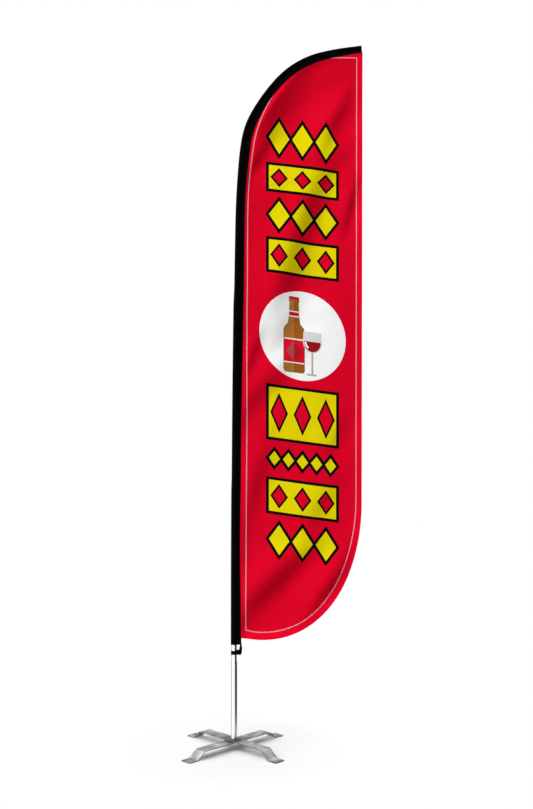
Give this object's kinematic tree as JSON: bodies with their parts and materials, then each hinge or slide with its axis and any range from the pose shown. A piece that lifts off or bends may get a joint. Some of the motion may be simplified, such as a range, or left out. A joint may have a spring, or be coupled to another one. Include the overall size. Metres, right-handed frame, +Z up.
{
  "type": "feather flag with pole",
  "caption": "Tall feather-shaped banner on a sleeved pole that bends over at the top, standing on a turning spindle in a folding flat-bar cross base.",
  "frame": {"origin": "on the floor, under the axis of the pole's foot", "axes": "+Z up the pole, +X the way the flag flies, the flag's face towards -Y"},
  "size_m": [1.043, 0.58, 4.1145],
  "materials": {
    "bar_steel": "zinc plated, brushed",
    "hub_steel": "dark satin paint",
    "fastener_steel": "zinc plated",
    "bearing_steel": "ground",
    "spindle_steel": "turned",
    "black_plastic": "moulded",
    "nylon": "natural nylon",
    "seal_rubber": "soft",
    "pole_metal": "polished and anodised",
    "fibreglass": "pultruded, dark",
    "sleeve_cloth": "black woven polyester",
    "panel_cloth": "printed knitted polyester",
    "webbing": "black webbing"
  },
  "bodies": {
    "base": {"lower_cross_bar": "bar_steel", "pivot_washer": "nylon", "hub_disc": "hub_steel", "spindle_axle": "fastener_steel", "flat_washer": "fastener_steel", "spring_washer": "fastener_steel", "axle_nut": "fastener_steel", "lower_bearing_inner_ring": "bearing_steel", "upper_bearing_inner_ring": "bearing_steel", "bearing_spacer": "spindle_steel", "circlip": "bearing_steel"},
    "upper_bar": {"upper_cross_bar": "bar_steel"},
    "rotor": {"rotor_sleeve": "spindle_steel", "rotor_cap": "black_plastic", "o_rings": "seal_rubber", "lower_bearing_outer_ring": "bearing_steel", "lower_bearing_balls": "bearing_steel", "upper_bearing_outer_ring": "bearing_steel", "upper_bearing_balls": "bearing_steel"},
    "pole": {"bottom_tube": "pole_metal", "lower_tube": "pole_metal", "middle_tube": "pole_metal", "reducer_bush": "black_plastic", "upper_tube": "fibreglass", "tip_ferrule": "fastener_steel", "tip_rod": "fibreglass", "tip_cap": "seal_rubber", "sleeve": "sleeve_cloth", "tip_patch": "webbing", "flag_panel": "panel_cloth", "tie_strap": "webbing", "tie_band": "webbing"}
  },
  "joints": [
    {"name": "cross_fold", "type": "hinge", "parent": "base", "child": "upper_bar", "pos_m": [0, 0, 0.049], "axis": [0, 0, 1], "range_deg": [-70, 70]},
    {"name": "spindle_turn", "type": "hinge", "parent": "base", "child": "rotor", "pos_m": [0, 0, 0.1], "axis": [0, 0, 1], "continuous": true},
    {"name": "pole_lift", "type": "slide", "parent": "rotor", "child": "pole", "axis": [0, 0, 1], "range_m": [0, 0.14]}
  ]
}
